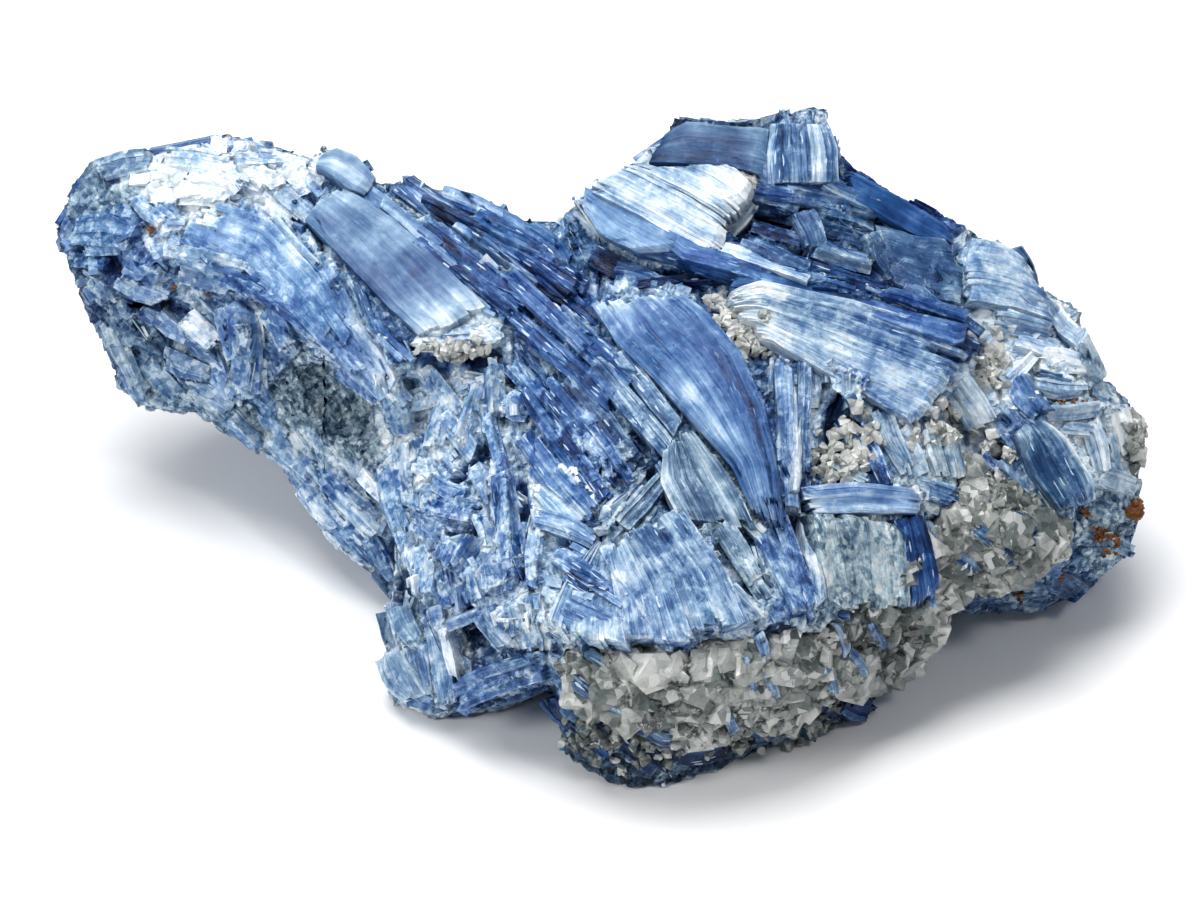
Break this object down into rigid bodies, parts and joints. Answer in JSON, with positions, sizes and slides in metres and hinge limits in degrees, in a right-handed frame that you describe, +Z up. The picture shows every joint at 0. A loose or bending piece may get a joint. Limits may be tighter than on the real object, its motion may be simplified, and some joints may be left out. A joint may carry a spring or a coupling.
{
  "type": "kyanite blade cluster",
  "caption": "Loose mineral specimen: flat blue kyanite blades grown together in sheaves and fans over a low sloping body, with pale quartz filling the front under a ledge.",
  "frame": {"origin": "On the flat underside that the specimen rests on, near its middle; Z is zero at that flat.", "axes": "+X runs along the length, +Y goes away from the broad sloping face of blades, and +Z is up."},
  "size_m": [0.1511, 0.0964, 0.0625],
  "materials": {
    "kyanite": "satin",
    "quartz": "satin"
  },
  "bodies": {
    "root": {"kyanite_blades": "kyanite", "quartz_matrix": "quartz"}
  },
  "joints": []
}
